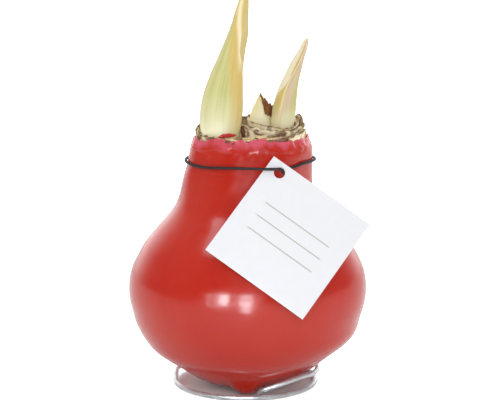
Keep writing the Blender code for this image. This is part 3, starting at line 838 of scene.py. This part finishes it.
def make_scale(name, numbers, look, seed):
    """One papery scale of the neck: a standing arc, or a whole ring, with a ragged top."""
    centre_x, centre_y, reach, foot, thick, dry, ragged, crest = numbers
    start, finish = crest[0][0], crest[-1][0]
    whole = finish - start == 360
    line = smooth_line(crest, 6)

    def place(across, along):
        degrees = start + (finish - start) * across
        angle = radians(degrees)
        top = (table_value(line, degrees)[1]
               + ragged * (1.4 * rough(angle, 0.0, 5.0, seed) + rough(angle, 0.0, 14.0, seed)
                           + 0.8 * rough(angle, 0.0, 38.0, seed)))
        height = foot + (top - foot) * along
        flare = (0.5 * ease(along, 0.4, 1.0) + 0.7 * along * rough(angle, along * 2, 3.2, seed)
                 - 0.5 * ease(along, 0.9, 1.0) * ease(rough(angle, 3.0, 4.0, seed), 0.0, 0.2))
        pull = reach + flare - 0.3
        return Vector((centre_x + pull * cos(angle), centre_y + pull * sin(angle), height))

    span = reach * radians(finish - start)
    mesh = sheet_mesh(max(int(span / 0.4), 24), 18, place, (span, 6.0),
                      scale_marks(dry, start, finish, PATCHES_AND_SHADE.get(name, ())), wrap=whole)
    face_away(mesh, (centre_x, centre_y, foot))
    finish_piece("scale_" + name, mesh, "bulb_scale", look, thickness=thick)


def make_roll(look):
    """The dark dried end of a scale, rolled up beside the tall shoot."""
    def place(across, along):
        turn = 1.45 * tau * across
        reach = (0.35 + 0.95 * across) * (1 - 0.25 * along)
        return Vector((-1.0 + reach * cos(turn) - 0.5 * along,
                       -2.6 + 0.8 * reach * sin(turn),
                       107.6 + 4.2 * along + 0.35 * rough(turn, along * 2, 2.0)))

    def marks(across, along):
        return {"dry": 1.0, "edge": 0.55 + 0.45 * ease(along, 0.5, 0.9), "patch_and_shade": 0.3}

    mesh = sheet_mesh(60, 14, place, span=(7.0, 4.2), marks=marks)
    finish_piece("scale_roll", mesh, "bulb_scale", look, thickness=0.3)


def make_flecks(look):
    """Chips of dry scale that lie on and just inside the wax rim."""
    mesh = bmesh.new()
    names = {name: mesh.verts.layers.float.new(name) for name in ("dry", "edge", "patch_and_shade")}
    flow = mesh.verts.layers.float_vector.new("flow")
    table = [  # degrees round the rim, radius, height, length, width, turn
        (-142, 22.6, 105.1, 2.0, 0.8, 20), (-131, 22.6, 105.0, 1.6, 0.7, -30),
        (-112, 24.2, 103.7, 2.4, 0.9, 5), (-106, 24.5, 103.1, 1.8, 0.7, -15),
        (-99, 22.9, 104.9, 1.2, 0.7, 40), (-93, 24.1, 103.9, 1.5, 0.7, 0),
        (-84, 22.8, 105.1, 1.6, 0.6, -20), (-71, 23.7, 104.2, 2.2, 0.6, 8),
        (-58, 22.6, 104.2, 1.2, 0.6, 30), (20, 22.6, 104.0, 1.6, 0.7, 0),
        (80, 22.8, 104.2, 2.0, 0.7, 12), (150, 22.6, 104.0, 1.5, 0.8, -12)]
    for degrees, radius, height, length, width, turn in table:
        angle = radians(degrees)
        made = bmesh.ops.create_icosphere(mesh, subdivisions=2, radius=0.5)["verts"]
        for vert in made:
            for name in names:
                vert[names[name]] = 1.0
            vert[flow] = vert.co.copy()
            vert.co *= 1 + 0.35 * noise.noise(vert.co * 4 + Vector((degrees, 0, 0)))
        bmesh.ops.scale(mesh, vec=(width * 0.8, length, 0.6), verts=made)
        spin = Matrix.Rotation(angle + radians(turn), 3, "Z")
        bmesh.ops.rotate(mesh, matrix=spin, verts=made)
        place = Vector((0.95 + radius * cos(angle), radius * sin(angle), height))
        bmesh.ops.translate(mesh, vec=place, verts=made)
    finish_piece("scale_flecks", mesh, "bulb_scale", look)


# Shoots

def leaf_mesh(sections, low, columns, rows, across_range, marks, ridge=None, back=0.0):
    """A leaf lofted up through sections, as wide as a share of them at each height.

    across_range(height) gives its left and right edge as shares of the half width, and
    ridge(height) the place and height of a keel along its front.
    """
    line = smooth_line([section for section in sections if section[0] >= low])
    line = even_points(line, rows)

    def place(across, along):
        row = round(along * (rows + 1)) - 1      # the first and the last row close the ends
        height, centre_x, centre_y, half_width, half_depth = line[min(max(row, 0), rows - 1)]
        left, right = across_range(height)
        middle = centre_x + half_width * (left + right) / 2
        reach = half_width * (right - left) / 2
        if row < 0 or row >= rows:
            return Vector((middle, centre_y + back, height))
        turn = tau * across
        out = 1.0
        if ridge:
            spot, tall = ridge(height)
            out += tall * bump(cos(turn), spot, 0.5) ** 2 * ease(-sin(turn), 0.0, 0.4)
        groove = 1 + 0.02 * rough(turn, height / 40, 6.0) * ease(half_width, 1.0, 4.0)
        return Vector((middle + reach * cos(turn),
                       centre_y + back + half_depth * sin(turn) * out * groove, height))

    def places_marks(across, along):
        row = min(max(round(along * (rows + 1)) - 1, 0), rows - 1)
        height = line[row][0]
        left, right = across_range(height)
        share = (left + right) / 2 + (right - left) / 2 * cos(tau * across)
        return marks(share, height, sin(tau * across) < 0.05)

    span = (tau * LEAF_ROUND, sections[-1][0] - low)
    return sheet_mesh(columns, rows + 1, place, span,
                      places_marks if callable(marks) else marks, wrap=True)


def tall_marks(share, height, front):
    """Masks of the tall shoot, by the share of its width and the height."""
    bound = table_value([(98, 0.7), (112, 0.55), (120, 0.4), (128, 0.2), (134, -0.08),
                         (140, -0.38), (147, -0.8), (168, -1.0)], height)[1]
    gold = ease(share, bound - 0.22, bound + 0.3) * ease(height, 103, 114)
    # Painted highlight: the pale strip along the lit rolled margin at the front leaf's right edge
    highlight_strip = table_value([(128, 0.86, 0.3), (134, 0.8, 0.34), (139, 0.62, 0.36),
                         (144, 0.3, 0.38), (150, -0.1, 0.46), (156, -0.34, 0.55),
                         (168, -0.4, 0.6)], height)
    pale_and_highlight = bump(share, highlight_strip[1], highlight_strip[2]) * ease(height, 128, 139)
    if not front:
        gold *= 0.4
        pale_and_highlight = 0.0
    cream = 0.4 * (1 - ease(height, 104, 113)) + 0.4 * (1 - ease(height, 108, 126))
    cream *= 1 - 0.6 * ease(share, 0.1, 0.8)
    return {"gold": gold, "pale_and_highlight": 0.9 * pale_and_highlight, "foot": cream,
            "rose": 0.55 * (1 - ease(share, -0.98, -0.84)) * ease(height, 106, 112)}


def short_marks(share, height, front):
    """Masks of the short shoot."""
    ridge = table_value([(108, -0.4), (112, -0.38), (117, -0.3), (122, -0.27), (127.5, -0.11),
                         (134, 0.37), (143, 0.5)], height)[1]
    gold = (1 - ease(share, ridge - 0.12, ridge + 0.3)) * ease(share, -1.1, -0.6)
    gold = max(gold, 0.5 * (1 - ease(height, 105, 112)))
    rose = bump(share, ridge + 0.45, 0.65) * ease(height, 108, 118)
    # Painted highlight: the pale line along the lit keel
    pale_and_highlight = 0.6 * bump(share, ridge, 0.16) * ease(height, 107, 116)
    if not front:
        gold, pale_and_highlight = 0.3, 0.0
    return {"gold": gold, "pale_and_highlight": pale_and_highlight, "foot": 0.7 * (1 - ease(height, 107, 118)),
            "rose": 0.75 * max(rose, ease(height, 132, 140))}


def rear_tall_marks(share, height, front):
    """Masks of the olive rear leaf of the tall shoot."""
    return {"gold": 0.45 + 0.3 * ease(share, 0.7, 1.0), "pale_and_highlight": 0.0, "foot": 0.0, "rose": 0.15}


def make_shoots(look):
    """Each shoot: its folded front leaf, and the paler rear leaf that shows beside it."""
    def tall_edges(height):
        return -1.0, 1.0 - 0.45 * ease(height, 130.0, 147.0)

    def short_edges(height):
        return -1.0 + 0.66 * ease(height, 119.5, 128.0) + 0.45 * ease(height, 128, 137), 1.0

    def short_rear_edges(height):
        return -0.92 - 0.08 * ease(height, 117, 121), 0.5

    def short_ridge(height):
        return table_value([(108, -0.1), (120, -0.15), (132, 0.0), (143, 0.1)], height)[1], 0.16

    leaves = {  # sections, foot, columns, rows, edges, masks, keel and how far it stands back
        "tall_leaf": (TALL_SHOOT, 98.0, 112, 120, tall_edges, tall_marks,
                      lambda height: (0.75, 0.05)),
        "tall_rear_leaf": (TALL_SHOOT, 128.0, 64, 70, lambda height: (-0.3, 1.0),
                           rear_tall_marks, None, 1.1),
        "short_leaf": (SHORT_SHOOT, 102.0, 96, 90, short_edges, short_marks, short_ridge),
        "short_rear_leaf": (SHORT_SHOOT, 104.0, 64, 84, short_rear_edges,
                            {"gold": 0.0, "pale_and_highlight": 0.1, "foot": 0.5, "rose": 0.65}, None, 1.1)}
    nodes = {"tall_leaf": "shoot_tall", "short_leaf": "shoot_short"}
    for name, numbers in leaves.items():
        finish_piece(name, leaf_mesh(*numbers), "green_shoot", look, nodes.get(name))


def make_stub(look):
    """The stub of a leaf: cream, torn open at its upper right, with the brown skin there."""
    def stub_marks(share, height, front):
        return {"gold": 0.1, "pale_and_highlight": 0.45 + 0.35 * ease(share, -0.5, 0.3),
                "foot": 0.95 * (1 - ease(height, 107, 120)), "rose": 0.0}

    mesh = leaf_mesh(LEAF_STUB, 103.0, 80, 50, lambda height: (-1.0, 1.0), stub_marks)
    finish_piece("stub_leaf", mesh, "green_shoot", look, "leaf_stub")

    def place(across, along):
        wide = TORN_EDGE[0][0] + (TORN_EDGE[-1][0] - TORN_EDGE[0][0]) * across
        _, foot, top = table_value(TORN_EDGE, wide)
        foot += 0.6 * rough(0.0, wide * 1.3, 2.0) + 0.6 * rough(0.0, wide * 4.1, 2.0)
        top += 0.7 * rough(0.0, wide * 2.3, 5.0) + 0.9 * rough(0.0, wide * 5.3, 5.0)
        height = foot + (max(top, foot + 0.2) - foot) * along
        _, centre_x, centre_y, half_width, half_depth = table_value(LEAF_STUB, height)
        off = min(abs(wide - centre_x) / (half_width + 0.5), 0.98)
        fold = 0.3 * rough(0.0, height / 2, 3.0, wide / 2) * ease(along, 0.2, 0.8)
        return Vector((wide, centre_y - (half_depth + 0.45) * math.sqrt(1 - off * off) + fold,
                       height))

    mesh = sheet_mesh(110, 30, place, span=(13.0, 8.0), marks={})
    face_away(mesh, (5.2, 2.4, 114.0))
    finish_piece("torn_edge", mesh, "torn_skin", look, thickness=0.2)


# Wire, card and cord

def wire_path():
    ring = [Vector((RING_CENTRE_X + RING_RADIUS * cos(angle), RING_RADIUS * sin(angle),
                    WIRE_HEIGHT)) for angle in map(radians, range(*RING_DEGREES))]
    steps = 8
    rise = smooth_line([tuple(point) for point in ring[-2:]] + WIRE_RISE, steps)[steps:]
    for point in rise:
        point.z = max(point.z, WIRE_HEIGHT)
    return ring + rise[1:]


def make_wire(look):
    """The stand: one wire, very slightly uneven."""
    width = look.radius / MM

    def radius(turn, share):
        return width * (1 - 0.012 * (1 + rough(turn, share * 300, 1.5)))

    mesh = tube_mesh(wire_path(), radius, sides=24, along=620, marks={})
    finish_piece("coiled_wire", mesh, "zinc_wire", look, "wire_stand")


def card_rule(place):
    """Mask of the three ruled lines, on the card's own flat coordinates."""
    lines = max(bump(place.x - CARD_MIDDLE[0], level, 0.42) for level in RULES)
    return ease(lines, 0.2, 0.7) * ease(RULE_REACH - abs(place.y - CARD_MIDDLE[1]), 0.0, 0.3)


def slice_across(mesh, place, normal):
    """Add edges where a plane crosses the mesh."""
    bmesh.ops.bisect_plane(mesh, geom=mesh.verts[:] + mesh.edges[:] + mesh.faces[:],
                           plane_co=place, plane_no=normal, dist=0.0001)


def make_card(look):
    """The card, flat about its hole at first: punched, ruled, then bowed and hung up."""
    thickness = look.thickness / MM
    mesh = bmesh.new()
    bmesh.ops.create_cube(mesh, size=1.0)
    bmesh.ops.scale(mesh, vec=(TAG_SIDE, TAG_SIDE, thickness), verts=mesh.verts)
    bmesh.ops.translate(mesh, vec=(*CARD_MIDDLE, 0), verts=mesh.verts)
    blank = new_object("card_blank", mesh)
    mesh = bmesh.new()
    bmesh.ops.create_cone(mesh, segments=64, radius1=TAG_HOLE_RADIUS, radius2=TAG_HOLE_RADIUS,
                          depth=4 * thickness, cap_ends=True)
    punch = new_object("card_punch", mesh)
    cut = blank.modifiers.new("hole", "BOOLEAN")
    cut.object = punch
    cut.solver = "EXACT"
    edge = blank.modifiers.new("edge", "BEVEL")
    edge.width = 0.12
    edge.segments = 2
    edge.limit_method = "ANGLE"
    cut_card = blank.evaluated_get(bpy.context.evaluated_depsgraph_get())
    mesh = bmesh.new()
    mesh.from_mesh(cut_card.to_mesh())
    for made in (blank, punch):
        bpy.data.objects.remove(made, do_unlink=True)
    rule = mesh.verts.layers.float.new("rule")
    for step in range(-45, 12):          # a grid for the bow, 1 mm a square
        slice_across(mesh, (step, step, 0), (1, 0, 0))
        slice_across(mesh, (step, step, 0), (0, 1, 0))
    for level in RULES:
        for part in (-0.4, -0.25, -0.1, 0.1, 0.25, 0.4):
            slice_across(mesh, (level + part + CARD_MIDDLE[0], 0, 0), (1, 0, 0))
    turn = Euler(TAG_TURN).to_matrix() @ Matrix.Rotation(TAG_ROLL, 3, "Z")
    for vert in mesh.verts:
        if vert.co.z > 0:
            vert[rule] = card_rule(vert.co)
        from_middle = (vert.co.xy - Vector(CARD_MIDDLE)).length
        vert.co.z -= look.bow / MM * (from_middle / TAG_SIDE) ** 2
        vert.co = Vector(TAG_HOLE_PLACE) + turn @ vert.co
    bmesh.ops.recalc_face_normals(mesh, faces=mesh.faces)
    finish_piece("card_tag", mesh, "white_card", look, "hang_tag")


def neck_point(degrees, stand_off, height=CORD_HEIGHT):
    """A point this far off the wax of the neck."""
    angle = radians(degrees)
    row = min(smooth_line(BODY_OUTLINE), key=lambda place: abs(place.y - height))
    return uneven(angle, row.x + stand_off, height)


def left_height(degrees):
    """The cord dips at the left of the neck, and comes up a little to the card."""
    return CORD_HEIGHT - 1.1 * ease(degrees, 184, 220) + 0.6 * ease(degrees, 225, 260)


def make_cord(look):
    """The cord: from the knot round the left, through the card, and back by the right."""
    width = look.radius / MM
    ply = look.ply / look.radius
    stand_off = width + CORD_ROOM
    route = [neck_point(angle, stand_off, left_height(angle)) for angle in range(98, 258, 8)]
    turn = Euler(TAG_TURN).to_matrix()
    route += [Vector(TAG_HOLE_PLACE) + turn @ Vector(place) for place in CORD_AT_TAG]
    route += [neck_point(-54, stand_off + 0.6, 93.3), neck_point(-46, stand_off, 93.5)]
    route += [neck_point(angle, stand_off) for angle in range(-34, 82, 8)]
    path = smooth_line(route)
    length = sum((b - a).length for a, b in zip(path, path[1:]))

    def radius(turn, share):
        lay = STRANDS * turn + tau * share * length / CORD_LAY
        return width * (1 - ply * (0.5 + 0.5 * cos(lay)))

    mesh = tube_mesh(path, radius, sides=18, along=760, marks={"strand": 1.0})
    finish_piece("neck_cord", mesh, "black_cord", look, "cord_loop")


def make_knot(look):
    """An overhand knot at the back of the neck, with two short ends."""
    middle = neck_point(90, 1.6)
    line = []
    for step in range(61):
        t = tau * step / 60
        line.append(Vector((0.55 * (sin(t) + 2 * sin(2 * t)), 0.42 * sin(3 * t),
                            0.48 * (cos(t) - 2 * cos(2 * t)))))

    def radius(turn, share):
        return look.radius / MM * 0.92

    mesh = tube_mesh([middle + place for place in line], radius, sides=12, along=120,
                     marks={"strand": 1.0})
    for side in (-1, 1):
        end = [middle + Vector(place) for place in (
            (0.5 * side, 0.2, 0.2), (1.4 * side, 0.7, -0.9), (1.9 * side, 0.6, -3.0),
            (2.6 * side, 0.9, -5.6))]
        tail = tube_mesh(smooth_line(end), radius, sides=12, along=26, marks={"strand": 1.0})
        data = bpy.data.meshes.new("cord_end")
        tail.to_mesh(data)
        tail.free()
        mesh.from_mesh(data)
        bpy.data.meshes.remove(data)
    finish_piece("neck_knot", mesh, "black_cord", look, "cord_knot")


# Stage

# Panels that show in the wax: degrees round and above the front of the belly, width, height and
# share of the windows' light
PANELS = [
    ("window_left", -20.4, 7.0, 0.024, 0.053, 1.3), ("window_pane", -31.2, 6.0, 0.037, 0.06, 0.1),
    ("window_slat", -35.4, 6.0, 0.004, 0.06, 0.4), ("window_bar", -27.5, 9.0, 0.004, 0.045, 0.3),
    ("window_front", 1.0, 7.0, 0.035, 0.053, 0.7), ("window_sill", 1.0, -6.6, 0.025, 0.045, 0.7),
    ("glow", -13.3, 8.0, 0.17, 0.13, 0.025)]
WINDOW_TINT = (0.68, 0.94, 1.0)
BELLY_FRONT = (-0.048, 0.0456)       # y and z of the belly's front in the frame, in metres
PANEL_REACH = 0.14                   # metres from there to a panel
FLOOR_SIZE = 15.0
FLOOR_DROP = 0.0002
CAMERA_LENS = 105.84
CAMERA_PLACE = (0.0008, -0.5986, 0.173)
CAMERA_TILT = radians(80.9)


def soft_panel(name, place, aim, size, radiance, colour=WINDOW_TINT, round_face=False):
    """An area light that faces a point; radiance is how bright its face looks."""
    data = bpy.data.lights.new(name, "AREA")
    data.shape = "ELLIPSE" if round_face else "RECTANGLE"
    data.size, data.size_y = size
    area = size[0] * size[1] * (pi / 4 if round_face else 1.0)
    data.energy = radiance * pi * area
    data.color = colour
    lamp = bpy.data.objects.new(name, data)
    lamp.location = place
    lamp.rotation_euler = (Vector(aim) - Vector(place)).to_track_quat("-Z", "Y").to_euler()
    lamp.visible_camera = False
    bpy.context.collection.objects.link(lamp)
    return lamp


def make_world(look):
    """A surround that is dark in front and white behind, and all white to the camera."""
    world = bpy.data.worlds.new("white_surround")
    world.use_nodes = True
    wires = Wires(world.node_tree)
    way = wires.node("SeparateXYZ", {0: wires.node("TexCoord", {})["Generated"]})["Y"]
    soft, mirrored = (
        wires.span(way, dark, white, look.front, look.sky, interpolation_type="SMOOTHSTEP")
        for dark, white in ((-0.8, 0.15), (0.35, 0.95)))
    level = wires.node("Mix", {0: wires.ray("Is Glossy Ray"), 2: soft, 3: mirrored})[0]
    level = wires.node("Mix", {0: wires.ray("Is Camera Ray"), 2: level, 3: 1.05})[0]
    background = world.node_tree.nodes["Background"].inputs
    background["Color"].default_value = (1.0, 1.0, 1.0, 1.0)
    world.node_tree.links.new(level, background["Strength"])
    return world


def make_stage(look):
    """The floor, the lights that the wax mirrors, a spot, a soft fill and the camera."""
    mesh = bmesh.new()
    bmesh.ops.create_grid(mesh, x_segments=8, y_segments=8, size=FLOOR_SIZE)
    bmesh.ops.translate(mesh, vec=(0, 0, -FLOOR_DROP), verts=mesh.verts)
    floor = new_object("floor", mesh)
    floor.data.materials.append(finish_of("pale_floor", look))
    for name, turn, rise, wide, tall, share in PANELS:
        angle = radians(turn)
        belly = Vector((0.0004 * turn - 0.0003, *BELLY_FRONT))
        way = Vector((sin(angle), -cos(angle), math.tan(radians(rise))))
        lamp = soft_panel(name, belly + PANEL_REACH * way, belly, (wide, tall),
                          share * look.window, round_face=name == "glow")
        lamp.visible_diffuse = False
    spot = soft_panel("spot", (-0.05, -0.05, 0.141), (-0.013, -0.029, 0.07), (0.03, 0.03), 4.0,
                      round_face=True)
    spot.visible_diffuse = False
    fill = soft_panel("fill", (0.02, -0.52, 0.3), (0, 0, 0.09), (0.4, 0.4), look.fill,
                      colour=(1.0, 1.0, 1.0))
    fill.visible_glossy = False
    camera = bpy.data.objects.new("camera", bpy.data.cameras.new("camera"))
    camera.data.lens = CAMERA_LENS
    camera.data.sensor_width = 36.0
    camera.location = CAMERA_PLACE
    camera.rotation_euler = (CAMERA_TILT, 0, 0)
    bpy.context.collection.objects.link(camera)
    scene = bpy.context.scene
    scene.world = make_world(look)
    scene.view_settings.view_transform = "Standard"
    scene.camera = camera


# Operators and panel

class PieceMaker:
    bl_options = {"REGISTER", "UNDO"}

    @property
    def looks(self):
        return bpy.context.scene.waxed_bulb


class WAXEDBULB_OT_stage(PieceMaker, bpy.types.Operator):
    """Lay the pale floor and set the lights and the camera"""
    bl_idname = "waxed_bulb.stage"
    bl_label = "Stage"

    def execute(self, context):
        make_stage(self.looks.stage)
        return {"FINISHED"}


class WAXEDBULB_OT_wax(PieceMaker, bpy.types.Operator):
    """Turn the wax shell, with its lumps, rim and drip, and add the run on the shoot"""
    bl_idname = "waxed_bulb.wax"
    bl_label = "Wax"

    def execute(self, context):
        make_wax(self.looks.wax)
        make_smear(self.looks.wax)
        return {"FINISHED"}


class WAXEDBULB_OT_neck(PieceMaker, bpy.types.Operator):
    """Build the bulb's body and the papery scales of its cut neck"""
    bl_idname = "waxed_bulb.neck"
    bl_label = "Bulb neck"

    def execute(self, context):
        make_core(self.looks.scales)
        for number, (name, numbers) in enumerate(SCALES.items()):
            make_scale(name, numbers, self.looks.scales, 2.3 * number)
        make_roll(self.looks.scales)
        make_flecks(self.looks.scales)
        return {"FINISHED"}


class WAXEDBULB_OT_shoots(PieceMaker, bpy.types.Operator):
    """Loft the two shoots and the torn stub of a leaf"""
    bl_idname = "waxed_bulb.shoots"
    bl_label = "Shoots"

    def execute(self, context):
        make_shoots(self.looks.shoots)
        make_stub(self.looks.shoots)
        return {"FINISHED"}


class WAXEDBULB_OT_wire(PieceMaker, bpy.types.Operator):
    """Run the coiled wire stand"""
    bl_idname = "waxed_bulb.wire"
    bl_label = "Wire stand"

    def execute(self, context):
        make_wire(self.looks.wire)
        return {"FINISHED"}


class WAXEDBULB_OT_card(PieceMaker, bpy.types.Operator):
    """Cut the card tag and its hole"""
    bl_idname = "waxed_bulb.card"
    bl_label = "Card tag"

    def execute(self, context):
        make_card(self.looks.card)
        return {"FINISHED"}


class WAXEDBULB_OT_cord(PieceMaker, bpy.types.Operator):
    """Run the cord round the neck and through the card, and knot it"""
    bl_idname = "waxed_bulb.cord"
    bl_label = "Cord"

    def execute(self, context):
        make_cord(self.looks.cord)
        make_knot(self.looks.cord)
        return {"FINISHED"}


LOOKS = (WaxLook, ScaleLook, ShootLook, WireLook, CardLook, CordLook, StageLook, WaxedBulb)
STEPS = (WAXEDBULB_OT_stage, WAXEDBULB_OT_wax, WAXEDBULB_OT_neck, WAXEDBULB_OT_shoots,
         WAXEDBULB_OT_wire, WAXEDBULB_OT_card, WAXEDBULB_OT_cord)


class WAXEDBULB_PT_pieces(bpy.types.Panel):
    """The pieces of the waxed bulb, with their sizes and colours"""
    bl_label = "Waxed bulb"
    bl_idname = "WAXEDBULB_PT_pieces"
    bl_space_type = "VIEW_3D"
    bl_region_type = "UI"
    bl_category = "Waxed bulb"

    def draw(self, context):
        looks = context.scene.waxed_bulb
        for step in STEPS:
            self.layout.operator(step.bl_idname)
        for name in ("wax", "scales", "shoots", "wire", "card", "cord", "stage"):
            box = self.layout.box()
            box.label(text=name.capitalize())
            look = getattr(looks, name)
            for key in look.__annotations__:
                box.prop(look, key)


def register():
    for made in (*LOOKS, *STEPS, WAXEDBULB_PT_pieces):
        bpy.utils.register_class(made)
    bpy.types.Scene.waxed_bulb = PointerProperty(type=WaxedBulb)


def unregister():
    del bpy.types.Scene.waxed_bulb
    for made in reversed((*LOOKS, *STEPS, WAXEDBULB_PT_pieces)):
        bpy.utils.unregister_class(made)


def main():
    register()
    for step in STEPS:
        group, name = step.bl_idname.split(".")
        getattr(getattr(bpy.ops, group), name)()


if __name__ == "__main__":
    main()
